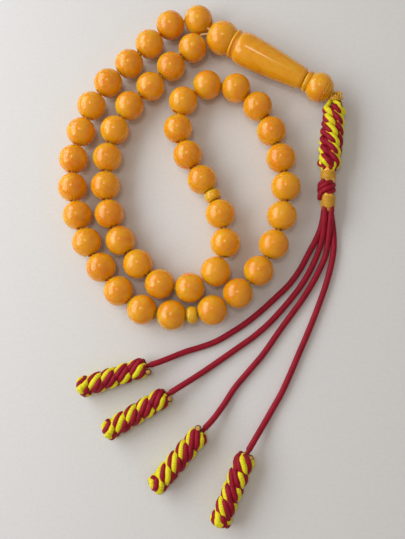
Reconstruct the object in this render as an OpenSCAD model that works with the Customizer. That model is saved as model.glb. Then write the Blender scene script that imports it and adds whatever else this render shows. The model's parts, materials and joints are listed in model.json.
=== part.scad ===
// Misbaha: three sets of prayer beads on one endless string, laid out on a table in a loose spiral.
// The string leaves the loop through the head bead, the imam and the finial, and ends in a small
// loop that carries a braided tassel with four cords. Everything lies on the plane z = 0.
// +X is to the right, +Y is away from the tassel's ends, +Z is up.

/* [Prayer beads] */
// Diameter of each prayer bead
bead_d = 10; // [9:0.1:11]
// Beads in each of the three sets
set_count = 15; // [13:1:15]
// Hole through each bead
bead_bore_d = 2.2; // [2:0.1:2.4]
// Free play between neighbours on the string
play = 0.11; // [0.08:0.01:0.15]

/* [Set dividers] */
// Diameter of the thin divider between two sets
divider_d = 5.8; // [5:0.1:8]
// Thickness of the divider
divider_t = 3.4; // [2.6:0.1:3.6]

/* [Head bead] */
// Diameter of the bead that gathers both strands
head_d = 11.6; // [11:0.1:11.7]
// Distance from its centre to the flat that the imam sits on
head_seat = 4.1; // [3.8:0.1:4.5]
// Hole that takes both strands side by side
tail_bore_d = 2.7; // [2.6:0.1:3.2]

/* [Imam] */
// Length of the imam
imam_l = 28.3; // [27:0.1:30]
// Largest diameter, near its wide end
imam_d = 11.4; // [10:0.1:11.4]
// Diameter just before the rounded narrow end
imam_tip_d = 7.6; // [6:0.1:9]
// Diameter of the thin flange at the wide end
flange_d = 10.4; // [9:0.1:10.8]

/* [Finial] */
// Diameter of the ball
finial_d = 10; // [9:0.1:10]
// Diameter of the collar against the imam
collar_d = 7.4; // [6.4:0.1:8]

/* [String and cords] */
// Diameter of the string that carries the beads
string_d = 0.85; // [0.7:0.05:0.9]
// Diameter of each tassel cord
cord_d = 2; // [1.8:0.05:2]

/* [Tassel] */
// Diameter of the plait
plait_d = 8.2; // [7:0.1:8.2]
// Length of the plait
plait_l = 23.9; // [22:0.1:26]
// Diameter of the thread whippings
whip_d = 5.4; // [5:0.1:6]
// Diameter of the barrel knot between the whippings
knot_d = 6.4; // [5.8:0.1:7]
// Diameter of the braided ends
braid_d = 6.8; // [6:0.1:6.8]
// Length of the braided ends
braid_l = 25.4; // [22:0.1:27]

/* [Hidden] */

function two_digits(k) = str(k < 10 ? "0" : "", k);
CORDS = [1:4];
BEAD_NODES = [for (k = [1:3 * set_count]) str("prayer_bead_", two_digits(k))];

// Colours
amber = "orange";
lemon = "gold";
crimson = "crimson";
gold_thread = "goldenrod";
ivory = "navajowhite";

UP = [0, 0, 1];
ROUND = 64;
lay = bead_d / 10; // the layout below is drawn for 10 mm beads

// The loop: points on the line of bead centres, from the bead next to the head bead, clockwise
// down the left side, round the bottom and up the right side, then round once more inside.
loop_route = lay * [
    [-1, 52.5], [-11, 51], [-18.5, 44], [-25.5, 37], [-32.5, 30.5], [-38.5, 22], [-42, 12.5],
    [-44.5, 2.5], [-44.5, -7.5], [-42.5, -17.5], [-39, -27], [-34, -35.5], [-28, -43.5], [-20, -50],
    [-10, -52], [-3, -52], [3.5, -50.5], [12, -45], [19, -37.5], [24, -29], [27, -19], [28.5, -9],
    [27, 1], [24, 10.5], [19.5, 19.5], [12, 26.5], [2, 28], [-6.5, 22], [-8, 12], [-4.5, 2.5],
    [0.5, -6.5], [4, -12], [6.5, -18.5], [8, -28.5], [4.5, -38], [-4, -43], [-14, -41.5],
    [-21.5, -34.5], [-27.5, -26.5], [-31.5, -17], [-33, -7], [-32.5, 3], [-30, 13], [-25, 21.5],
    [-17.5, 28.5], [-10.5, 35.5], [-3, 42], [3, 47]
];

// The tail: a straight line from the head bead, dropping slightly to the finial
tail_yaw = -30;
tail_drop = 1.33;
head_at = concat(lay * [7.6, 44.8], 5.9);
tail_dir = [cos(tail_drop) * cos(tail_yaw), cos(tail_drop) * sin(tail_yaw), -sin(tail_drop)];
tail_side = [-sin(tail_yaw), cos(tail_yaw), 0];
function on_tail(s, side = 0) = head_at + s * tail_dir + side * tail_side;

// Stations along the tail, from the head bead's centre
imam_from = head_seat + play;
collar_from = imam_from + imam_l + play;
collar_l = 1.7;
ball_at = collar_from + collar_l + 0.38 * finial_d;
finial_to = ball_at + finial_d / 2 - 0.2;
pivot_from = finial_to + 1.5;
pivot = on_tail(pivot_from);

// The plait lies along this heading from the pivot, and the bindings below it turn back a little
tassel_yaw = -97;
tassel_dir = [cos(tassel_yaw), sin(tassel_yaw), 0];
binding_yaw = -92;
eye_r = 1.5;
eye_wire_d = 0.9;
plait_from = 2.7;
plait_to = plait_from + plait_l;
binding_droop = 4;
upper_whip_l = 2.9;
knot_l = 5.6;
lower_whip_l = 4.2;
binding_l = upper_whip_l + knot_l + lower_whip_l;
knot_lean = 0.5; // the knot's bulk sits to the left of the bundle
binding_at = [pivot.x, pivot.y, plait_d / 2 + 0.05] + plait_to * tassel_dir;
binding_dir = cos(binding_droop) * [cos(binding_yaw), sin(binding_yaw), 0] - sin(binding_droop) * UP;
mouth = binding_at + binding_l * binding_dir;

// Each cord: points from the whipping's mouth to its braided end, across the table from the mouth
// and height above it. The first ones lie bound together, up to the split.
split = 3;
split_gap = 0.4;
cord_routes = [
    [
        [-1.1, 0, 2.2], [-1.6, -3.4, 1.8], [-2.7, -7.3, 1.3], [-4.5, -11.1, 1.05],
        [-6.7, -15.1, 1], [-9.5, -20.2, 1], [-13.3, -25.3, 1], [-18, -29.8, 1], [-23, -34.3, 1],
        [-28, -38.2, 1], [-33, -41.4, 1], [-38, -44.2, 1], [-43, -46, 1], [-48, -47.5, 1.3],
        [-52.5, -49.3, 2], [-56, -50.7, 2.8], [-59, -51.7, 3.3]
    ],
    [
        [-1, 0, 4.3], [-1.2, -3.4, 3.7], [-1.5, -7.4, 2.2], [-2.4, -11.7, 1.05],
        [-3.9, -15.8, 1], [-6.2, -20.6, 1], [-9.2, -25.5, 1], [-12.2, -29.4, 1], [-16, -33.8, 1],
        [-20.5, -38.5, 1], [-25.5, -42.7, 1], [-30.5, -46.2, 1], [-36, -50, 1], [-41, -53.4, 1.3],
        [-45.3, -56.2, 2], [-49, -58.5, 2.8], [-52.3, -60.6, 3.3]
    ],
    [
        [1, -0.2, 4.3], [0.7, -3.6, 3.7], [0.3, -7.9, 2.2], [-0.2, -12.2, 1.05],
        [-1.1, -16, 1], [-2.7, -19.6, 1], [-4.6, -23.3, 1], [-6.8, -27, 1], [-9.5, -31, 1],
        [-12.5, -35, 1], [-17, -41, 1], [-22, -48, 1], [-27, -53.8, 1], [-31.5, -59, 1],
        [-35, -64.2, 1.5], [-38.4, -68.8, 2.6], [-41.2, -71.8, 3.3]
    ],
    [
        [1, -0.2, 2.2], [1.5, -4, 1.8], [1.9, -8.4, 1.3], [1.9, -12.7, 1.05],
        [1.3, -16.8, 1], [0.1, -21.5, 1], [-1.5, -26.5, 1], [-3.5, -31.8, 1], [-5.6, -37, 1],
        [-8, -42.5, 1], [-10.5, -48, 1], [-13.2, -54, 1], [-16.3, -60.5, 1], [-19.5, -66, 1],
        [-22.3, -70.6, 1.5], [-25, -74.9, 2.6], [-27.2, -78.4, 3.3]
    ]
];
braid_yaw = [-162, -149, -131, -113];
braid_gap = 0.5;

// ---- Small tools ----

function unit(v) = v / norm(v);
function flat_point(p, z) = [p.x, p.y, z];

// A smooth curve through the points: Catmull-Rom with steps samples in each span
function smooth(points, steps) = [
    for (i = [0:len(points) - 2])
        let (
            a = points[max(i - 1, 0)],
            b = points[i],
            c = points[i + 1],
            d = points[min(i + 2, len(points) - 1)]
        )
        for (s = [0:steps - 1])
            let (t = s / steps)
            0.5 * (2 * b + (c - a) * t + (2 * a - 5 * b + 4 * c - d) * t * t
                + (3 * b - a - 3 * c + d) * t * t * t)
];

// Index of the first point of path after i that is at least reach away from centre
function first_beyond(path, i, centre, reach) =
    norm(path[i] - centre) >= reach ? i : first_beyond(path, i + 1, centre, reach);

// Centres that follow the path, each one the next step's length from the one before
function walk(path, i, centre, steps, k = 0) =
    k == len(steps) ? [] :
    let (
        j = first_beyond(path, i, centre, steps[k]),
        near = norm(path[j - 1] - centre),
        far = norm(path[j] - centre),
        next = path[j - 1] + (steps[k] - near) / (far - near) * (path[j] - path[j - 1])
    )
    concat([next], walk(path, j, next, steps, k + 1));

// Turns +Z to a direction
module aim(at, dir) {
    translate(at)
        rotate([0, acos(dir.z), atan2(dir.y, dir.x)])
            children();
}

// Directions along a route: of the span before, of the span after, and the mean of the two
function span(route, i) = unit(route[i + 1] - route[i]);
function mean_dir(before, after) = unit(before + after);

// A ring of sides points round one route point, widened in a bend so the tube keeps its thickness
function ring(p, before, after, r, sides) =
    let (
        t = mean_dir(before, after),
        side = unit(cross(t, UP)),
        up = cross(side, t)
    )
    [
        for (j = [0:sides - 1])
            let (a = 360 * j / sides)
            p + r * (cos(a) / (t * before) * side + sin(a) * up)
    ];

function tube_wall(rings, sides, closed) = [
    for (i = [0:rings - (closed ? 1 : 2)], j = [0:sides - 1])
        let (n = (i + 1) % rings, k = (j + 1) % sides)
        [i * sides + j, i * sides + k, n * sides + k, n * sides + j]
];

// A tube along an open route
module tube(route, d, sides = 8) {
    last = len(route) - 1;
    rings = [
        for (i = [0:last])
            ring(route[i], span(route, max(i - 1, 0)), span(route, min(i, last - 1)), d / 2, sides)
    ];
    start_cap = [[for (j = [sides - 1:-1:0]) j]];
    end_cap = [[for (j = [0:sides - 1]) last * sides + j]];
    polyhedron([for (r = rings) each r], concat(start_cap, tube_wall(last + 1, sides, false), end_cap));
}

// A tube along a route that closes on itself
module endless_tube(route, d, sides = 8) {
    n = len(route);
    loop = concat([route[n - 1]], route, [route[0]]);
    rings = [for (i = [1:n]) ring(loop[i], span(loop, i - 1), span(loop, i), d / 2, sides)];
    polyhedron([for (r = rings) each r], tube_wall(n, sides, true));
}

// ---- Where the strung pieces are ----

pitch = bead_d + play;
divider_pitch = bead_d / 2 + divider_t / 2 + play;
set_steps = [for (k = [2:set_count]) pitch];
divider_steps = [divider_pitch, divider_pitch];
all_steps = concat(set_steps, divider_steps, set_steps, divider_steps, set_steps);
fine_route = smooth(loop_route, 40);
places = concat([fine_route[0]], walk(fine_route, 1, fine_route[0], all_steps));
strung = [for (p = places) flat_point(p, bead_d / 2)];
last_place = len(strung) - 1;

// Places in the row: the dividers come after each of the first two sets
divider_places = [set_count, 2 * set_count + 1];
function bead_place(k) = k - 1 + floor((k - 1) / set_count);

// Where the strands meet the head bead's funnel, and each piece's direction on the string
head_mouth = flat_point(on_tail(-head_d / 2), bead_d / 2);
thread_line = concat([head_mouth], strung, [head_mouth]);
function thread_dir(i) = mean_dir(span(thread_line, i), span(thread_line, i + 1));
function half_length(i) = len(search(i, divider_places)) > 0 ? divider_t / 2 : bead_d / 2;
function mouth_after(i) = strung[i] + half_length(i) * thread_dir(i);
function mouth_before(i) = strung[i] - half_length(i) * thread_dir(i);

// The string: round the tassel's eye, up through the tail, round the whole loop and back
strand_gap = 0.5;
eye_loop = [[0.8, -0.85], [0, -1.05], [-0.75, -0.75], [-1.05, 0], [-0.75, 0.75], [0, 1.05], [0.8, 0.85]];
string_route = concat(
    [for (p = eye_loop) on_tail(pivot_from - p[0], p[1])],
    [on_tail(finial_to - 1, strand_gap), on_tail(-2.8, strand_gap)],
    [flat_point(mouth_before(0), bead_d / 2)],
    [for (i = [0:last_place - 1]) (mouth_after(i) + mouth_before(i + 1)) / 2],
    [flat_point(mouth_after(last_place), bead_d / 2)],
    [on_tail(-2.8, -strand_gap), on_tail(finial_to - 1, -strand_gap)]
);

// ---- Parts ----

module stringing_cord() {
    color(ivory)
        endless_tube(string_route, string_d);
}

// A ball with a drilled hole and softened mouths
module prayer_bead(place) {
    chamfer = 0.4;
    mouth_z = sqrt(pow(bead_d / 2, 2) - pow(bead_bore_d / 2 + chamfer, 2));
    color(amber)
        aim(strung[place], thread_dir(place))
            difference() {
                sphere(d = bead_d, $fn = ROUND);
                cylinder(d = bead_bore_d, h = 2 * bead_d, center = true, $fn = 24);
                for (end = [0, 180])
                    rotate([end, 0, 0])
                        translate([0, 0, mouth_z - chamfer])
                            cylinder(d1 = bead_bore_d, d2 = bead_bore_d + 4 * chamfer, h = 2 * chamfer, $fn = 24);
            }
}

// A thin lens-shaped disc with small flat faces and a rounded rim
module divider(place) {
    flat_r = 0.3 * divider_d;
    rim = [for (a = [-72:12:72]) [flat_r + (divider_d / 2 - flat_r) * cos(a), divider_t / 2 * sin(a) / sin(72)]];
    color(lemon)
        aim(strung[place], thread_dir(place))
            difference() {
                rotate_extrude($fn = ROUND)
                    polygon(concat([[0, -divider_t / 2]], rim, [[0, divider_t / 2]]));
                cylinder(d = bead_bore_d, h = 2 * divider_t, center = true, $fn = 24);
            }
}

// The gathering bead: a funnel takes in both strands, a flat meets the imam
module head_bead() {
    funnel_r = 3.4;
    funnel_from = 2.6;
    funnel_to = sqrt(pow(head_d / 2, 2) - pow(funnel_r, 2));
    color(amber)
        aim(head_at, tail_dir)
            difference() {
                sphere(d = head_d, $fn = ROUND);
                cylinder(d = tail_bore_d, h = 2 * head_d, center = true, $fn = 32);
                translate([0, 0, -funnel_to - 1])
                    cylinder(
                        r1 = funnel_r + (funnel_r - tail_bore_d / 2) / (funnel_to - funnel_from),
                        r2 = tail_bore_d / 2,
                        h = funnel_to + 1 - funnel_from,
                        $fn = 48
                    );
                translate([0, 0, head_seat])
                    cylinder(d = 2 * head_d, h = head_d, $fn = 48);
            }
}

// The imam's outline as [radius, station]: flange, groove, then a long taper with round ends
module imam() {
    flange_t = 1.2;
    groove_r = 0.41 * imam_d;
    body_from = 2.1;
    shoulder = 3.2;
    nose = 1.6;
    taper_l = imam_l - body_from - shoulder - nose;
    r_wide = imam_d / 2;
    r_tip = imam_tip_d / 2;
    flange_rim = [
        for (a = [-80:20:80]) [flange_d / 2 - 0.6 + 0.6 * cos(a), flange_t / 2 + flange_t / 2 * sin(a)]
    ];
    shoulder_arc = [
        for (a = [0:10:90]) [groove_r + (r_wide - groove_r) * sin(a), body_from + shoulder * (1 - cos(a))]
    ];
    taper = [
        for (i = [1:12])
            let (t = i / 12)
            [r_wide - (r_wide - r_tip) * pow(t, 1.35), body_from + shoulder + taper_l * t]
    ];
    nose_arc = [for (a = [10:10:90]) [r_tip - nose * (1 - cos(a)), imam_l - nose + nose * sin(a)]];
    color(amber)
        aim(on_tail(imam_from), tail_dir)
            difference() {
                rotate_extrude($fn = ROUND)
                    polygon(concat([[0, 0]], flange_rim, shoulder_arc, taper, nose_arc, [[0, imam_l]]));
                translate([0, 0, -1])
                    cylinder(d = tail_bore_d, h = imam_l + 2, $fn = 32);
            }
}

// A turned end bead: collar ring, ball, and two fine grooves round the ball's far side
module finial() {
    r = finial_d / 2;
    groove_w = 0.3;
    color(amber)
        aim(on_tail(collar_from), tail_dir)
            difference() {
                union() {
                    translate([0, 0, collar_l - 0.6])
                        cylinder(d = collar_d - 1.6, h = 2, $fn = 48);
                    rotate_extrude($fn = ROUND)
                        polygon(concat(
                            [[0, 0]],
                            [for (a = [-75:15:75])
                                [collar_d / 2 - 0.6 + 0.6 * cos(a), collar_l / 2 + collar_l / 2 * sin(a)]],
                            [[0, collar_l]]
                        ));
                    translate([0, 0, ball_at - collar_from])
                        sphere(r = r, $fn = ROUND);
                }
                for (z = [0.46 * r, 0.64 * r])
                    translate([0, 0, ball_at - collar_from + z])
                        rotate_extrude($fn = ROUND)
                            translate([sqrt(r * r - z * z), 0])
                                circle(r = groove_w, $fn = 16);
                translate([0, 0, -1])
                    cylinder(d = tail_bore_d, h = finial_to, $fn = 32);
                translate([0, 0, finial_to - collar_from])
                    cylinder(d = finial_d, h = finial_d, $fn = 32);
            }
}

// The plait's outline as [radius, station]
module plait() {
    r = plait_d / 2;
    outline = [
        [0, 0], [0.38 * r, 0], [0.68 * r, 1.4], [0.9 * r, 3.2], [0.98 * r, 5.2], [r, 7.5],
        [r, plait_l - 5], [0.97 * r, plait_l - 2.6], [0.85 * r, plait_l - 1], [0.64 * r, plait_l], [0, plait_l]
    ];
    rotate_extrude($fn = ROUND)
        polygon(outline);
}

// A whipping: a tight sleeve of thread with slightly rounded ends
module whipping(l) {
    rotate_extrude($fn = 48)
        polygon([
            [0, 0], [whip_d / 2 - 0.3, 0], [whip_d / 2, 0.3], [whip_d / 2, l - 0.3],
            [whip_d / 2 - 0.3, l], [0, l]
        ]);
}

// Barrel knot: wound cord, fullest at its middle
module barrel_knot() {
    rotate_extrude($fn = 48)
        polygon(concat(
            [[0, 0]],
            [for (a = [-60:15:60])
                [knot_d / 2 - 1.6 + 1.6 * cos(a), knot_l / 2 * (1 + sin(a) / sin(60))]],
            [[0, knot_l]]
        ));
}

// The tassel's firm part: eye, plait, whippings, knot, and the cords as far as they lie bound
module tassel_head() {
    color(gold_thread)
        translate(pivot + eye_r * tassel_dir)
            rotate([90, 0, tassel_yaw])
                rotate_extrude($fn = 48)
                    translate([eye_r, 0])
                        circle(d = eye_wire_d, $fn = 16);
    color(crimson)
        aim(flat_point(pivot + plait_from * tassel_dir, binding_at.z), tassel_dir)
            plait();
    color(gold_thread)
        aim(binding_at, binding_dir)
            whipping(upper_whip_l - 0.05);
    color(crimson)
        aim(binding_at + upper_whip_l * binding_dir - [knot_lean, 0, 0], binding_dir)
            barrel_knot();
    color(gold_thread)
        aim(binding_at + (upper_whip_l + knot_l + 0.05) * binding_dir, binding_dir)
            whipping(lower_whip_l - 0.05);
    color(crimson)
        for (k = CORDS)
            tube([for (i = [0:split]) cord_point(k, i)], cord_d);
}

function cord_point(k, i) = let (p = cord_routes[k - 1][i]) [mouth.x + p.x, mouth.y + p.y, p.z];

// One free cord, from where it leaves the bundle to its braided end
module tassel_cord(k) {
    route = [for (i = [split:len(cord_routes[k - 1]) - 1]) cord_point(k, i)];
    start = route[0] + split_gap * unit(route[1] - route[0]);
    color(crimson)
        tube(concat([start], [for (i = [1:len(route) - 1]) route[i]]), cord_d);
}

// A round braid with blunt, rounded ends, lying on the table
module end_braid(k) {
    r = braid_d / 2;
    soft = 1.8;
    yaw = braid_yaw[k - 1];
    dir = [cos(yaw), sin(yaw), 0];
    end = flat_point(cord_point(k, len(cord_routes[k - 1]) - 1), r);
    outline = concat(
        [for (a = [-90:15:0]) [r - soft + soft * cos(a), soft + soft * sin(a)]],
        [for (a = [0:15:90]) [r - soft + soft * cos(a), braid_l - soft + soft * sin(a)]]
    );
    color(lemon)
        aim(end + braid_gap * dir, dir)
            rotate_extrude($fn = 48)
                polygon(concat([[0, 0]], outline, [[0, braid_l]]));
}

// ---- The assembly ----

stringing_cord();
for (k = [1:len(BEAD_NODES)])
    prayer_bead(bead_place(k));
for (k = [1, 2])
    divider(divider_places[k - 1]);
head_bead();
imam();
finial();
tassel_head();
for (k = CORDS)
    tassel_cord(k);
for (k = CORDS)
    end_braid(k);
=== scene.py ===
"""Looks of the misbaha prayer beads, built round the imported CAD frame.

Lengths are in metres in the frame's own coordinates; MM turns millimetres into metres. The resin
pieces are the CAD's own solids with better materials. Every thread and cord is made here: the
string, the tie, the plait, the whippings, the barrel knot, the four cords and their braided ends.
"""

import json
import math

import bpy
import numpy as np
from mathutils import Matrix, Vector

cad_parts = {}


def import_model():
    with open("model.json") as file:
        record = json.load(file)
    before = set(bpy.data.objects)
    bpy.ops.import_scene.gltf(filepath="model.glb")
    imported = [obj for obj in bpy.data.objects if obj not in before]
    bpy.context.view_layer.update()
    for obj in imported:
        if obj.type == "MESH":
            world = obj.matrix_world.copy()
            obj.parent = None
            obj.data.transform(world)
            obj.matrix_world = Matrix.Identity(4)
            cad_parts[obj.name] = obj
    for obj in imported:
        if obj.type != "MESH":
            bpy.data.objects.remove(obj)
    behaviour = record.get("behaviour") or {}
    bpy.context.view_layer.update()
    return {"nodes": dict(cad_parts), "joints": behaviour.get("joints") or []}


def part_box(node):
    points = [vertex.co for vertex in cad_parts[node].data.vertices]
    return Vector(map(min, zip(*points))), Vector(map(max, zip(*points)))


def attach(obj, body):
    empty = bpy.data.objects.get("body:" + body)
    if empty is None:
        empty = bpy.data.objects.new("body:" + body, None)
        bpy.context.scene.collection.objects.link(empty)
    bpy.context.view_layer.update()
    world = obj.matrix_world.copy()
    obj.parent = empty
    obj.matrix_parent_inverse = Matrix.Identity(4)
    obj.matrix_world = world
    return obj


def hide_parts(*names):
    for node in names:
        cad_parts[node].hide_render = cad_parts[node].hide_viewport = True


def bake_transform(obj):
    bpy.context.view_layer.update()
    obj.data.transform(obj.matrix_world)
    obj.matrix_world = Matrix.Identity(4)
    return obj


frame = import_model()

MM = 0.001
X, Y, Z = np.eye(3)


# ---- Curves and tubes ----


def unit(v):
    return np.asarray(v, float) / np.linalg.norm(v)


def heading(degrees):
    a = math.radians(degrees)
    return np.array([math.cos(a), math.sin(a), 0.0])


def smooth(points, steps, closed=False):
    """A Catmull-Rom curve through the points, with steps samples in each span."""
    p = np.asarray(points, float)
    n = len(p)
    t = np.arange(steps)[:, None] / steps
    out = []
    for i in range(n if closed else n - 1):
        k = [i - 1, i, i + 1, i + 2]
        k = [j % n for j in k] if closed else np.clip(k, 0, n - 1)
        a, b, c, d = p[k]
        out.append(0.5 * (2 * b + (c - a) * t + (2 * a - 5 * b + 4 * c - d) * t**2
                          + (3 * b - a - 3 * c + d) * t**3))
    return np.vstack(out if closed else out + [p[-1:]])


def frame_at(origin, axis):
    """A 4x4 matrix whose Z is the axis and whose X points up, away from the table."""
    z = unit(axis)
    x = unit(Z - (Z @ z) * z)
    m = np.eye(4)
    m[:3, 0], m[:3, 1], m[:3, 2], m[:3, 3] = x, np.cross(z, x), z, origin
    return m


def placed(matrix, points):
    return np.asarray(points, float) @ matrix[:3, :3].T + matrix[:3, 3]


class Threads:
    """Round tubes collected in one mesh. U runs once round a tube, and V along it in the same unit."""

    def __init__(self, *materials):
        self.materials = materials
        self.points, self.faces, self.uvs, self.slots, self.count = [], [], [], [], 0

    def tube(self, path, radius, slot=0, sides=12, closed=False, ends=(0.7, 0.7)):
        """One tube along the path, in the material of that slot.

        radius is one number or one for each point; ends says how far each end bulges, in radii.
        """
        path = np.asarray(path, float)
        radius = np.broadcast_to(np.asarray(radius, float), len(path)).copy()
        tangents = np.gradient(path, axis=0)
        if closed:
            tangents = np.roll(path, -1, 0) - np.roll(path, 1, 0)
        tangents /= np.linalg.norm(tangents, axis=1)[:, None]
        if not closed:
            path, radius, tangents = self._rounded(path, radius, tangents, ends)
        side = self._transported(tangents)
        if closed:
            side = self._closed_up(side, tangents)
        other = np.cross(tangents, side)
        angle = 2 * math.pi * np.arange(sides) / sides
        rings = path[:, None] + radius[:, None, None] * (
            np.cos(angle)[None, :, None] * side[:, None] + np.sin(angle)[None, :, None] * other[:, None])
        along = np.concatenate([[0], np.cumsum(np.linalg.norm(np.diff(path, axis=0), axis=1))])
        along /= 2 * math.pi * radius.max()
        if closed:
            rings = np.concatenate([rings, rings[:1]])
            step = np.linalg.norm(path[0] - path[-1]) / (2 * math.pi * radius.max())
            whole = max(1, round(along[-1] + step))
            along = np.append(along, along[-1] + step) * whole / (along[-1] + step)
        n = len(rings)
        i, j = np.meshgrid(np.arange(n - 1), np.arange(sides), indexing="ij")
        k = (j + 1) % sides
        wrap = (lambda ring: ring % (n - 1)) if closed else (lambda ring: ring)
        here, beyond = wrap(i) * sides, wrap(i + 1) * sides
        corners = [here + j, here + k, beyond + k, beyond + j]
        quads = np.stack(corners, -1).reshape(-1, 4) + self.count
        u, v = np.stack([j, j + 1, j + 1, j], -1) / sides, along[np.stack([i, i, i + 1, i + 1], -1)]
        self.uvs.append(np.stack([u, v], -1).reshape(-1, 2))
        self.faces += quads.tolist()
        self.slots += [slot] * len(quads)
        if not closed:
            for ring, turn, at in ((0, -1, along[0]), (n - 1, 1, along[-1])):
                self.faces.append((ring * sides + np.arange(sides)[::turn] + self.count).tolist())
                self.uvs.append(np.full((sides, 2), [0.5, at]))
                self.slots.append(slot)
        keep = rings[:-1] if closed else rings
        self.points.append(keep.reshape(-1, 3))
        self.count += len(keep) * sides

    @staticmethod
    def _rounded(path, radius, tangents, ends):
        """The path, radius and tangents with three more, ever smaller rings at each end."""
        a = np.radians([30, 58, 80])
        head = path[0] - tangents[0] * (radius[0] * ends[0] * np.sin(a))[::-1, None]
        tail = path[-1] + tangents[-1] * (radius[-1] * ends[1] * np.sin(a))[:, None]
        radius = np.concatenate([radius[0] * np.cos(a)[::-1], radius, radius[-1] * np.cos(a)])
        tangents = np.vstack([np.repeat(tangents[:1], 3, 0), tangents, np.repeat(tangents[-1:], 3, 0)])
        return np.vstack([head, path, tail]), radius, tangents

    @staticmethod
    def _transported(tangents):
        """A side vector at each point that turns no more than the path does."""
        t = tangents[0]
        side = unit(np.cross(t, X if abs(t[0]) < 0.8 else Y))
        out = [side]
        for t in tangents[1:]:
            side = unit(side - (side @ t) * t)
            out.append(side)
        return np.array(out)

    @staticmethod
    def _closed_up(side, tangents):
        """Spreads what is left to turn at the seam over the whole loop."""
        t = tangents[0]
        last = unit(side[-1] - (side[-1] @ t) * t)
        gap = math.atan2(np.cross(last, side[0]) @ t, last @ side[0])
        a = (gap * np.arange(len(side)) / len(side))[:, None]
        return np.cos(a) * side + np.sin(a) * np.cross(tangents, side)

    def mesh(self, name):
        """The piece of that name, made of all the tubes."""
        mesh = bpy.data.meshes.new(name)
        mesh.from_pydata(np.vstack(self.points).tolist(), [], self.faces)
        mesh.uv_layers.new(name="along").data.foreach_set("uv", np.vstack(self.uvs).ravel())
        mesh.polygons.foreach_set("material_index", self.slots)
        mesh.polygons.foreach_set("use_smooth", [True] * len(self.faces))
        for material in self.materials:
            mesh.materials.append(material)
        piece = bpy.data.objects.new(name, mesh)
        bpy.context.scene.collection.objects.link(piece)
        return piece


# ---- Materials ----


class Shader:
    """A node material under construction, with short names for the few kinds of node used here."""

    def __init__(self, name, **constants):
        self.material = bpy.data.materials.new(name)
        self.material.use_nodes = True
        self.tree = self.material.node_tree
        self.surface = self.tree.nodes["Principled BSDF"]
        for socket, value in constants.items():
            self.surface.inputs[socket.replace("_", " ")].default_value = value

    def node(self, kind, values=None, **settings):
        made = self.tree.nodes.new("ShaderNode" + kind)
        for key, value in settings.items():
            setattr(made, key, value)
        for socket, value in (values or {}).items():
            self.feed(made.inputs[socket], value)
        return made

    def feed(self, socket, value):
        if isinstance(value, bpy.types.NodeSocket):
            self.tree.links.new(value, socket)
        else:
            socket.default_value = value

    def coords(self, kind):
        return self.node("TexCoord").outputs[kind]

    def math(self, operation, *values):
        return self.node("Math", dict(enumerate(values)), operation=operation).outputs[0]

    def noise(self, vector, scale, detail, roughness, distortion=0.0):
        return self.node("TexNoise", {"Vector": vector, "Scale": scale, "Detail": detail,
                                      "Roughness": roughness, "Distortion": distortion}).outputs["Fac"]

    def stretched(self, vector, scale):
        return self.node("Mapping", {"Vector": vector, "Scale": scale}).outputs["Vector"]

    def ramp(self, value, *stops):
        """Colour stops as (place, colour)."""
        made = self.node("ValToRGB", {"Fac": value})
        elements = made.color_ramp.elements
        while len(elements) < len(stops):
            elements.new(0.5)
        for element, (place, colour) in zip(elements, stops):
            element.position, element.color = place, (*colour, 1)
        return made.outputs["Color"]

    def between(self, value, low, high):
        """value from 0 to 1, turned into low to high."""
        return self.node("MapRange", {"Value": value, "To Min": low, "To Max": high}).outputs["Result"]

    def bump(self, height, distance, strength):
        made = self.node("Bump", {"Height": height, "Distance": distance, "Strength": strength})
        self.feed(self.surface.inputs["Normal"], made.outputs["Normal"])

    def base(self, colour):
        self.feed(self.surface.inputs["Base Color"], colour)

    def roughness(self, value):
        self.feed(self.surface.inputs["Roughness"], value)


def resin(name, deep, bright, cloud_scale, glow):
    """Cast resin: faint clouds and swirls inside, a polished skin with slight handling marks."""
    s = Shader(name, Subsurface_Weight=glow, Subsurface_Radius=(1.0, 0.20, 0.03), Subsurface_Scale=5 * MM,
               IOR=1.53)
    where = s.coords("Object")
    cloud = s.noise(where, cloud_scale, 3, 0.55, 1.2)
    swirl = s.noise(s.stretched(where, (1, 1, 0.35)), 4 * cloud_scale, 4, 0.6, 2.0)
    mixed = s.math("ADD", s.math("MULTIPLY", cloud, 0.75), s.math("MULTIPLY", swirl, 0.25))
    s.base(s.ramp(mixed, (0.36, deep), (0.56, bright)))
    marks = s.noise(s.stretched(where, (1, 3, 1)), 2600, 3, 0.7)
    s.roughness(s.between(marks, 0.14, 0.24))
    s.bump(marks, 0.004 * MM, 0.4)
    return s.material


# A lighter copy of a colour, used as a painted highlight on raised yarn.
def painted_highlight_colour(colour, factor, lift):
    return tuple(min(1.0, factor * c + lift) for c in colour)


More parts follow.
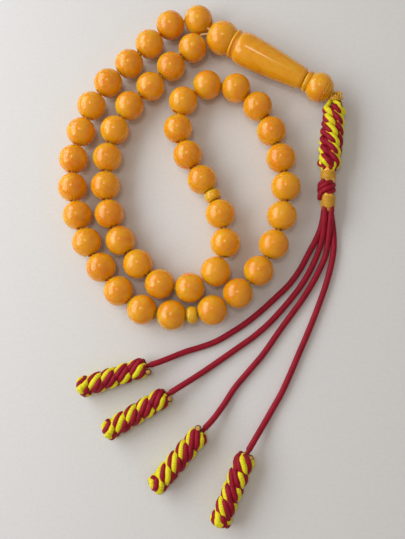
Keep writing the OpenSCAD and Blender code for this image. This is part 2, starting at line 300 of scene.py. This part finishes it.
def satin_cord(name, colour, gap):
    """Braided satin cord: small diamonds of yarn with fibres along each, painted shade in the grooves
    between the diamonds and a painted highlight on their crests.
    """
    ribs, slant = 6, 0.75
    s = Shader(name, Sheen_Weight=0.03, Sheen_Roughness=0.35, Specular_IOR_Level=0.24)
    uv = s.node("SeparateXYZ", {"Vector": s.coords("UV")})
    u, v = uv.outputs["X"], uv.outputs["Y"]
    wave = 2 * math.pi * ribs
    rise = s.math("MULTIPLY", v, slant)
    left = s.math("SINE", s.math("MULTIPLY", s.math("ADD", u, rise), wave))
    right = s.math("SINE", s.math("MULTIPLY", s.math("SUBTRACT", u, rise), wave))
    braid = s.between(s.math("MULTIPLY", left, right), 0.5, 1.0)
    fibre = s.noise(s.stretched(s.coords("UV"), (90, 14, 1)), 1.0, 3, 0.6)
    patches = s.noise(s.coords("Object"), 420, 2, 0.6)
    height = s.math("ADD", braid, s.math("MULTIPLY", fibre, 0.35))
    tone = s.math("ADD", s.math("MULTIPLY", height, 0.62), s.math("MULTIPLY", patches, 0.3))
    # The colour follows the relief: the gap colour is painted shade in the grooves between the diamonds,
    # and the lightest stop is a painted highlight on their crests; the patches are random tone.
    s.base(s.ramp(tone, (0.30, gap), (0.62, colour), (1.0, painted_highlight_colour(colour, 1.25, 0.015))))
    s.roughness(s.between(fibre, 0.38, 0.66))
    s.bump(height, 0.10 * MM, 0.8)
    return s.material


def twisted_thread(name, colour, gap, plies, sheen):
    """Twisted thread: plies run round it at a slant, with fine fibres, painted shade in the grooves
    between the plies and a painted highlight on their crests.
    """
    s = Shader(name, Sheen_Weight=sheen, Sheen_Roughness=0.3, Specular_IOR_Level=0.6)
    uv = s.node("SeparateXYZ", {"Vector": s.coords("UV")})
    slant = s.math("ADD", uv.outputs["X"], s.math("MULTIPLY", uv.outputs["Y"], 0.8))
    ply = s.between(s.math("SINE", s.math("MULTIPLY", slant, 2 * math.pi * plies)), 0.5, 1.0)
    fibre = s.noise(s.stretched(s.coords("UV"), (70, 12, 1)), 1.0, 3, 0.6)
    height = s.math("ADD", ply, s.math("MULTIPLY", fibre, 0.3))
    # The colour follows the plies' relief: the gap colour is painted shade in the grooves between the
    # plies, and the lightest stop is a painted highlight on their crests.
    tone = s.math("MULTIPLY", height, 0.75)
    s.base(s.ramp(tone, (0.28, gap), (0.66, colour), (1.0, painted_highlight_colour(colour, 1.2, 0.02))))
    s.roughness(s.between(fibre, 0.22, 0.5))
    s.bump(height, 0.05 * MM, 0.8)
    return s.material


def melted(name, rim, centre):
    """A cut cord end sealed with a flame."""
    s = Shader(name, Coat_Weight=0.3, Coat_Roughness=0.2)
    burn = s.noise(s.coords("Object"), 1500, 3, 0.6)
    s.base(s.ramp(burn, (0.4, rim), (0.6, centre)))
    s.roughness(s.between(burn, 0.25, 0.5))
    s.bump(burn, 0.06 * MM, 0.6)
    return s.material


amber = resin("amber_resin", deep=(0.76, 0.30, 0.004), bright=(0.84, 0.41, 0.012),
              cloud_scale=95, glow=1.0)
lemon_resin = resin("lemon_resin", deep=(0.82, 0.38, 0.004), bright=(0.87, 0.47, 0.010),
                    cloud_scale=180, glow=0.9)
# Each gap colour below is painted shade for the grooves of its braid or twist.
crimson = satin_cord("crimson_cord", colour=(0.32, 0.001, 0.018), gap=(0.022, 0.0, 0.003))
lemon = satin_cord("lemon_cord", colour=(0.84, 0.76, 0.010), gap=(0.20, 0.13, 0.0))
gold = twisted_thread("gold_thread", colour=(0.84, 0.45, 0.02), gap=(0.16, 0.04, 0.0),
                      plies=2, sheen=0.08)
peach = twisted_thread("string_thread", colour=(0.86, 0.58, 0.25), gap=(0.40, 0.20, 0.05),
                       plies=3, sheen=0.4)
sealed = melted("sealed_end", rim=(0.20, 0.07, 0.01), centre=(0.62, 0.34, 0.05))
singed = melted("singed_rim", rim=(0.045, 0.008, 0.004), centre=(0.16, 0.05, 0.01))
melted_core = melted("melted_core", rim=(0.48, 0.22, 0.03), centre=(0.72, 0.42, 0.08))

for name, node in frame["nodes"].items():
    if name.startswith(("prayer_bead", "head_bead", "imam", "finial")):
        node.data.materials.clear()
        node.data.materials.append(amber)
    if name.startswith("divider"):
        node.data.materials.clear()
        node.data.materials.append(lemon_resin)


# ---- Camera, floor and light ----


# Where the photo was taken from
LENS_MM, SENSOR_MM = 41.41, 36
CAMERA_AT = (0.0156, -0.0686, 0.2079)
CAMERA_LEAN, CAMERA_PITCH = math.radians(4.277), math.radians(8.848)

TABLE_MIDDLE = np.array([0, -0.025, 0])  # what both lights face
FLOOR_REACH = 3  # metres from the origin to each edge


def camera():
    data = bpy.data.cameras.new("camera")
    data.lens, data.sensor_width = LENS_MM, SENSOR_MM
    data.clip_start, data.clip_end = 0.01, 20
    made = bpy.data.objects.new("camera", data)
    made.matrix_world = (Matrix.Translation(CAMERA_AT)
                         @ Matrix.Rotation(CAMERA_LEAN, 4, "Y")
                         @ Matrix.Rotation(CAMERA_PITCH, 4, "X"))
    bpy.context.scene.collection.objects.link(made)
    bpy.context.scene.camera = made


def soft_light(name, towards, distance, size, power, colour):
    """A rectangular light at that distance from the middle of the table, facing it."""
    data = bpy.data.lights.new(name, "AREA")
    data.shape, data.size, data.size_y = "RECTANGLE", *size
    data.energy, data.color = power, colour
    made = bpy.data.objects.new(name, data)
    back = unit(towards)
    across = unit(np.cross(Y, back))
    m = np.eye(4)
    m[:3, 0], m[:3, 1], m[:3, 2] = across, np.cross(back, across), back
    m[:3, 3] = TABLE_MIDDLE + distance * back
    made.matrix_world = Matrix(m.tolist())
    bpy.context.scene.collection.objects.link(made)


def floor():
    mesh = bpy.data.meshes.new("floor")
    corners = [(x * FLOOR_REACH, y * FLOOR_REACH, 0) for x, y in ((-1, -1), (1, -1), (1, 1), (-1, 1))]
    mesh.from_pydata(corners, [], [(0, 1, 2, 3)])
    s = Shader("floor", Specular_IOR_Level=0.3)
    grain = s.noise(s.coords("Object"), 900, 4, 0.6)
    s.base(s.ramp(grain, (0.3, (0.70, 0.70, 0.70)), (0.7, (0.735, 0.735, 0.735))))
    s.roughness(s.between(grain, 0.55, 0.7))
    mesh.materials.append(s.material)
    made = bpy.data.objects.new("floor", mesh)
    bpy.context.scene.collection.objects.link(made)


def world():
    made = bpy.data.worlds.new("world")
    made.use_nodes = True
    background = made.node_tree.nodes["Background"]
    background.inputs["Color"].default_value = (1.0, 0.88, 0.79, 1)
    background.inputs["Strength"].default_value = 0.40
    bpy.context.scene.world = made
    bpy.context.scene.view_settings.view_transform = "Standard"


camera()
floor()
world()
soft_light("window", towards=(-0.78, 0.22, 0.58), distance=0.44, size=(0.28, 0.70),
           power=2.15, colour=(0.94, 0.98, 1.0))
soft_light("ceiling", towards=(-0.05, 0.10, 1.0), distance=0.70, size=(0.10, 0.10),
           power=0.35, colour=(1.0, 0.98, 0.95))


# ---- Where the tassel is ----

# The tassel hangs from its swing joint; the plait and the binding have a frame each, with Z along it
pivot = np.array(next(j for j in frame["joints"] if j["name"] == "tassel_swing")["pos_m"])
tassel_dir = heading(-97)
PLAIT_FROM, PLAIT_LENGTH, PLAIT_RADIUS = 2.7 * MM, 23.9 * MM, 4.1 * MM
UPPER_WHIPPING, KNOT_LENGTH, LOWER_WHIPPING = 2.9 * MM, 5.6 * MM, 4.2 * MM
TASSEL_HEIGHT = 4.15 * MM  # of the plait's line above the table
droop = math.radians(4)
binding_dir = math.cos(droop) * heading(-92) - math.sin(droop) * Z
plait_frame = frame_at([*(pivot + PLAIT_FROM * tassel_dir)[:2], TASSEL_HEIGHT], tassel_dir)
plait_end = pivot + (PLAIT_FROM + PLAIT_LENGTH) * tassel_dir
binding_frame = frame_at([*plait_end[:2], TASSEL_HEIGHT], binding_dir)
mouth = placed(binding_frame, [0, 0, UPPER_WHIPPING + KNOT_LENGTH + LOWER_WHIPPING])


# ---- The four cords ----

CORD_D = 2 * MM

# Each cord's points in millimetres: X and Y from the mouth, and the height above the table
CORD_ROUTES = [
    [
        (-1.1, 0, 2.2), (-1.6, -3.4, 1.8), (-2.7, -7.3, 1.3), (-4.5, -11.1, 1.05),
        (-6.7, -15.1, 1), (-9.5, -20.2, 1), (-13.3, -25.3, 1), (-18, -29.8, 1), (-23, -34.3, 1),
        (-28, -38.2, 1), (-33, -41.4, 1), (-38, -44.2, 1), (-43, -46, 1), (-48, -47.5, 1.3),
        (-52.5, -49.3, 2), (-56, -50.7, 2.8), (-59, -51.7, 3.3),
    ],
    [
        (-1, 0, 4.3), (-1.2, -3.4, 3.7), (-1.5, -7.4, 2.2), (-2.4, -11.7, 1.05),
        (-3.9, -15.8, 1), (-6.2, -20.6, 1), (-9.2, -25.5, 1), (-12.2, -29.4, 1), (-16, -33.8, 1),
        (-20.5, -38.5, 1), (-25.5, -42.7, 1), (-30.5, -46.2, 1), (-36, -50, 1), (-41, -53.4, 1.3),
        (-45.3, -56.2, 2), (-49, -58.5, 2.8), (-52.3, -60.6, 3.3),
    ],
    [
        (1, -0.2, 4.3), (0.7, -3.6, 3.7), (0.3, -7.9, 2.2), (-0.2, -12.2, 1.05),
        (-1.1, -16, 1), (-2.7, -19.6, 1), (-4.6, -23.3, 1), (-6.8, -27, 1), (-9.5, -31, 1),
        (-12.5, -35, 1), (-17, -41, 1), (-22, -48, 1), (-27, -53.8, 1), (-31.5, -59, 1),
        (-35, -64.2, 1.5), (-38.4, -68.8, 2.6), (-41.2, -71.8, 3.3),
    ],
    [
        (1, -0.2, 2.2), (1.5, -4, 1.8), (1.9, -8.4, 1.3), (1.9, -12.7, 1.05),
        (1.3, -16.8, 1), (0.1, -21.5, 1), (-1.5, -26.5, 1), (-3.5, -31.8, 1), (-5.6, -37, 1),
        (-8, -42.5, 1), (-10.5, -48, 1), (-13.2, -54, 1), (-16.3, -60.5, 1), (-19.5, -66, 1),
        (-22.3, -70.6, 1.5), (-25, -74.9, 2.6), (-27.2, -78.4, 3.3),
    ],
]


def cord_points(k):
    points = np.array(CORD_ROUTES[k]) * MM
    points[:, :2] += mouth[:2]
    return points


def tassel_cord(k):
    """One cord from inside the whipping to its braid, bending where it leaves the bundle."""
    points = cord_points(k)
    inside = placed(binding_frame, [0, 0, UPPER_WHIPPING + KNOT_LENGTH + 1 * MM])
    tucked = 0.45  # how much of the way to that point the cord's hidden start reaches
    start = points[0] + tucked * (inside - points[0])
    path = smooth(np.vstack([start, points]), 8)
    threads = Threads(crimson)
    threads.tube(path, CORD_D / 2, sides=16, ends=(0.5, 0.8))
    piece = threads.mesh(f"cord_{k + 1}")
    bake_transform(piece)
    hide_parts(f"tassel_cord_{k + 1}")
    return piece, path


cords = [tassel_cord(k) for k in range(4)]


# ---- Round crown sinnets ----


def on_circle(radius, angle):
    return radius * math.cos(angle), radius * math.sin(angle)


def turned(p, degrees):
    """One point, turned about Z."""
    a = math.radians(degrees)
    return (p[0] * math.cos(a) - p[1] * math.sin(a), p[0] * math.sin(a) + p[1] * math.cos(a), p[2])


def rolled(points, degrees):
    """A whole path, turned about Z."""
    a = math.radians(degrees)
    turn = np.array([[math.cos(a), -math.sin(a), 0], [math.sin(a), math.cos(a), 0], [0, 0, 1]])
    return np.asarray(points, float) @ turn.T


def crown_sinnet(levels, lanes, radius, thick, turn, side, lane):
    """Control points of one strand of a round crown sinnet, in its own frame with Z along it.

    Four bundles of strands, one on each side, fold over the top of each layer and cross it in two
    flat lanes, over the next bundle and under the last; each comes out on the far side and climbs
    there, slanting and side by side, to its next fold. levels are the layers' heights, lanes the
    strands' offsets from the middle, radius that of the outermost centreline, and turn how far a
    layer is turned from the one below, in degrees. The strand starts on that side, in that lane.
    """
    points = []
    over = np.mean(lanes)
    climb = levels[1] - levels[0]
    for level, z in enumerate(levels):
        a = lanes[lane]
        edge = math.sqrt(radius**2 - a**2)
        fold, out = math.asin(a / radius), math.asin(lanes[1 - lane] / radius)
        local = [
            (*on_circle(radius, 0.5 * (out - fold)), z - 0.45 * climb),
            (*on_circle(radius, 0.12 * out - 0.88 * fold), z - 0.10 * thick),
            (edge - 0.45 * thick, -a, z + 0.42 * thick),
            (min(over, edge - 0.6 * thick), -a, z + 0.5 * thick),
            (0, -a, z),
            (-min(over, edge - 0.6 * thick), -a, z - 0.5 * thick),
            (-(edge - 0.35 * thick), -a, z - 0.42 * thick),
            (-0.85 * edge, -0.85 * a, z + 0.05 * thick),
        ]
        facing = side + 180 * level
        points += [turned(p, facing + turn * (p[2] - levels[0]) / climb) for p in local]
        lane = 1 - lane
    return points


def swelling(path, thick, radius):
    """A strand's radius on its path: full where it lies outside, squeezed where it crosses inside."""
    squeezed, gain, sharpness = 0.74, 0.27, 5
    out = np.clip(np.linalg.norm(path[:, :2], axis=1) / radius, 0, 1)
    return thick / 2 * (squeezed + gain * out**sharpness)


# Every side carries a crimson and a lemon strand next to each other: (side, lane, material slot)
STRANDS = [(side, lane, (side // 180 + lane) % 2) for side in (0, 90, 180, 270) for lane in (0, 1)]


# ---- The braided ends ----

BRAID_YAW = [-162, -149, -131, -113]  # where each braid points, in degrees from X
BRAID_LENGTH, BRAID_RADIUS = 25.4 * MM, 3.4 * MM
BRAID_ROLL = [300, 320, 340, 280]  # how far each braid is rolled about its own line, in degrees
BRAID_THICK, BRAID_TURN = 1.95 * MM, -30
BRAID_LANES = [0.4 * MM, 1.9 * MM]
BRAID_LEVELS = (3.9 + 4.7 * np.arange(5)) * MM
# Each braid's cut end: its material slot, its place beside the cord, and where its face points
CUT_ENDS = [
    (0, (1.7, 2.1, -0.9), (1, 0.15, 0.25)),
    (0, (1.6, 1.6, -0.8), (1, 0.1, 0.9)),
    (1, (1.7, -1.6, -0.9), (1, -0.2, 0.3)),
    (1, (1.4, 1.5, -1.6), (1, 0.4, 0.6)),
]


def end_braid(k):
    """A round braid of crimson and lemon strands, doubled back on themselves at the far end.

    Its frame's Z runs back from there, so the cord comes in at BRAID_LENGTH, beside the cut end.
    """
    out = heading(BRAID_YAW[k])
    end = cord_points(k)[-1]
    far = np.array([end[0], end[1], BRAID_RADIUS]) + (0.5 * MM + BRAID_LENGTH) * out
    where = frame_at(far, -out)
    thick, levels = BRAID_THICK, BRAID_LEVELS
    radius = BRAID_RADIUS - thick / 2
    threads = Threads(crimson, lemon, singed, melted_core)
    for side, lane, slot in STRANDS:
        points = crown_sinnet(levels, BRAID_LANES, radius, thick, BRAID_TURN, side, lane)
        # Two of the sides double back under the other two
        low = (1.0 if side in (0, 180) else 2.2) * MM + 0.3 * MM * lane
        facing = side + BRAID_TURN * (low - levels[0]) / (levels[1] - levels[0])
        offset = 0.9 * thick * lane
        start = [
            turned((0, offset, low), facing),
            turned((0.6 * radius, offset, low + 0.1 * MM), facing),
            turned((0.98 * radius - 0.3 * offset, offset, low + 1.1 * MM), facing),
        ]
        last = np.array(points[-1])
        # One strand runs up the middle to meet the cord, and the others end inside
        if (side, lane) == (0, 0):
            points = points[:-4] + [(0, 0, BRAID_LENGTH - 1.2 * MM), (0, 0, BRAID_LENGTH + 0.3 * MM)]
        else:
            points = points[:-1] + [(*(0.55 * last[:2]), last[2] - 0.4 * thick)]
        path = smooth(start + points, 6)
        strand = placed(where, rolled(path, BRAID_ROLL[k]))
        threads.tube(strand, swelling(path, thick, radius), slot)
    slot, place, facing = CUT_ENDS[k]
    cut_end(threads, where, slot, np.array(place) * MM + (0, 0, BRAID_LENGTH), unit(facing))
    piece = threads.mesh(f"braid_{k + 1}")
    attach(piece, f"end_braid_{k + 1}")
    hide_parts(f"end_braid_{k + 1}")
    return piece


def cut_end(threads, where, slot, tip, facing):
    """The end of a strand, coming up out of the braid, cut and sealed with a flame.

    A singed rim (slot 2) lies round the cut, and a melted core (slot 3) stands a little out of it.
    """
    stub = [tip - 2.2 * MM * facing - (0, 0, 1.2 * MM), tip - 1.1 * MM * facing - (0, 0, 0.2 * MM), tip]
    threads.tube(placed(where, smooth(stub, 5)), 0.98 * MM, slot, 16, ends=(0.3, 0.1))
    rim, core = (1.08, 0.08, 2), (0.74, 0.30, 3)
    for radius, rise, material in (rim, core):
        disc = np.linspace(tip - 0.25 * MM * facing, tip + rise * MM * facing, 3)
        threads.tube(placed(where, disc), radius * MM, material, 20, ends=(0.2, 0.12))


for k, (piece, path) in enumerate(cords):
    braid = end_braid(k)


# ---- The plait ----

PLAIT_THICK, PLAIT_TURN, PLAIT_ROLL = 1.9 * MM, -24, 340
PLAIT_LANES = [0.5 * MM, 1.85 * MM]
PLAIT_LEVELS = (3.7 + 3.55 * np.arange(6)) * MM


def plait():
    """Crown sinnet of eight strands, gathered to a neck at the top and into the whipping below."""
    thick = PLAIT_THICK
    radius = PLAIT_RADIUS - 0.1 * MM - thick / 2
    threads = Threads(crimson, lemon)
    for side, lane, slot in STRANDS:
        points = crown_sinnet(PLAIT_LEVELS, PLAIT_LANES, radius, thick, PLAIT_TURN, side, lane)
        if lane == 1:  # these four make the neck, crimson on one side and lemon on the other
            neck = (0.85 if slot else -0.85) * MM
            lead = [(0, neck, -2.2 * MM), (*(0.32 * np.array(points[0][:2]) + (0, neck)), -0.8 * MM),
                    (*(0.8 * np.array(points[0][:2])), 0.8 * MM)]
        else:  # these start inside, just below the neck
            lead = [(0, 0, 1.1 * MM), (*(0.6 * np.array(points[0][:2])), 1.5 * MM)]
        last = np.array(points[-1])
        tail = [(*(0.72 * last[:2]), PLAIT_LENGTH - 0.6 * MM),
                (*(0.42 * last[:2]), PLAIT_LENGTH + 0.5 * MM)]
        path = smooth(lead + points + tail, 6)
        strand = placed(plait_frame, rolled(path, PLAIT_ROLL))
        threads.tube(strand, swelling(path, thick, radius), slot)
    piece = threads.mesh("plait")
    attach(piece, "tassel_head")
    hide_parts("tassel_head")


# ---- Whippings and barrel knot ----


def helix(radius, start, end, turns, phase=0.0):
    """A helix about Z. radius is a list of radii, spaced evenly along it; phase is in turns."""
    n = round(turns * 36)
    t = np.linspace(0, 1, n)
    a = 2 * math.pi * (turns * t + phase)
    radius = np.interp(t, np.linspace(0, 1, len(radius)), radius)
    return np.stack([radius * np.cos(a), radius * np.sin(a), start + (end - start) * t], 1)


def whipping(name, start, length, radii):
    """Gold thread wound closely over the strands, in one layer, and what it lies on."""
    wire = 0.46 * MM
    threads = Threads(gold)
    core = np.linspace((0, 0, start - 0.2 * MM), (0, 0, start + length + 0.2 * MM), 6)
    outside = np.interp(np.linspace(0, 1, 6), [0, 1], radii)
    threads.tube(placed(binding_frame, core), outside - 0.75 * wire, sides=32)
    first, last = start + wire / 2, start + length - wire / 2
    path = helix(np.array(radii) - wire / 2, first, last, length / wire - 1)
    threads.tube(placed(binding_frame, path), wire / 2, sides=8)
    piece = threads.mesh(name)
    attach(piece, "tassel_head")


def barrel_knot():
    """Four crimson strands laid side by side round the bundle, slanting, and the end of one."""
    thick, turns = 1.75 * MM, 0.62
    radii = np.array([1.5, 2.2, 2.32, 2.25, 1.6]) * MM
    threads = Threads(crimson)
    start, end = UPPER_WHIPPING, UPPER_WHIPPING + KNOT_LENGTH
    shifted = binding_frame.copy()
    shifted[0, 3] -= 0.5 * MM
    core = np.linspace((0, 0, start + 0.3 * MM), (0, 0, end - 0.3 * MM), 4)
    threads.tube(placed(shifted, core), 1.9 * MM, sides=24)
    for k in range(4):
        path = helix(radii, start + 0.7 * MM, end - 0.7 * MM, turns, k / 4 + 0.1)
        threads.tube(placed(shifted, path), thick / 2)
    tail = [(1.2, 1.3, 6.4), (1.5, 1.9, 7.5), (1.2, 2.3, 8.6), (0.7, 2.3, 9.5)]
    threads.tube(placed(shifted, smooth(np.array(tail) * MM, 6)), 0.85 * MM)
    piece = threads.mesh("barrel_knot")
    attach(piece, "tassel_head")


def tie():
    """Gold thread binding the plait's neck to the string's eye, with slack loops and a dark end."""
    threads = Threads(gold, sealed)
    neck = frame_at(pivot, tassel_dir)
    wire = 0.25 * MM  # the thread's radius
    wraps = helix(np.array([1.0, 1.7, 1.9, 2.05]) * MM, 0.1 * MM, 2.3 * MM, 3.6)
    threads.tube(placed(neck, wraps), wire, 0, 10)
    loops = [
        [(1.0, 0.2, -0.9), (1.5, 1.3, -0.2), (1.3, 1.6, 1.2),
         (1.6, 0.4, 1.7), (1.7, -0.7, 0.8), (1.3, -0.8, -0.4)],
        [(0.9, -0.3, -1.0), (1.6, -1.4, -0.6), (1.5, -1.7, 0.5), (1.6, -0.7, 1.3), (1.8, 0.3, 0.5)],
    ]
    for loop in loops:
        threads.tube(placed(neck, smooth(np.array(loop) * MM, 8, closed=True)), wire, 0, 10, closed=True)
    loose = [(1.2, -0.2, 0.2), (1.9, -1.1, -0.1), (1.7, -1.9, 0.6), (1.1, -2.3, 1.5)]
    end = smooth(np.array(loose) * MM, 8)
    threads.tube(placed(neck, end), wire, 0, 10)
    threads.tube(placed(neck, end[-5:]), 1.15 * wire, 1, 10)
    piece = threads.mesh("tie")
    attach(piece, "tassel_head")


plait()
tie()
whipping("upper_whipping", 0, UPPER_WHIPPING, (2.6 * MM, 2.6 * MM))
barrel_knot()
whipping("lower_whipping", UPPER_WHIPPING + KNOT_LENGTH, LOWER_WHIPPING, (2.65 * MM, 2.35 * MM))


# ---- The string ----


STRING_RADIUS = 0.42 * MM
# How far the two strands in the tail start before the head bead's middle, and end before the pivot
INSIDE = 2.6 * MM


def middle(node):
    low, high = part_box(node)
    return np.array((low + high) / 2)


def string():
    """One endless plied thread: through every bead, doubled in the tail, round the tassel's eye."""
    nodes = [f"prayer_bead_{k:02d}" for k in range(1, 46)]
    nodes.insert(15, "divider_1")
    nodes.insert(31, "divider_2")
    strung = [middle(n) for n in nodes]
    head = middle("head_bead")
    along = unit(pivot - head)
    across = np.cross(Z, along)
    gap = 0.5 * MM  # of each strand from the tail's middle line
    tail = float((pivot - head) @ along)
    eye = [(0.9, -0.85), (0, -1.05), (-0.75, -0.75), (-1.05, 0), (-0.75, 0.75), (0, 1.05), (0.9, 0.85)]
    points = [pivot - p[0] * MM * along + p[1] * MM * across for p in eye]
    points += [head + (tail - INSIDE) * along + gap * across, head - INSIDE * along + gap * across]
    points += strung
    points += [head - INSIDE * along - gap * across, head + (tail - INSIDE) * along - gap * across]
    threads = Threads(peach)
    threads.tube(smooth(points, 6, closed=True), STRING_RADIUS, closed=True)
    piece = threads.mesh("string")
    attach(piece, "string")
    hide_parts("stringing_cord")


string()
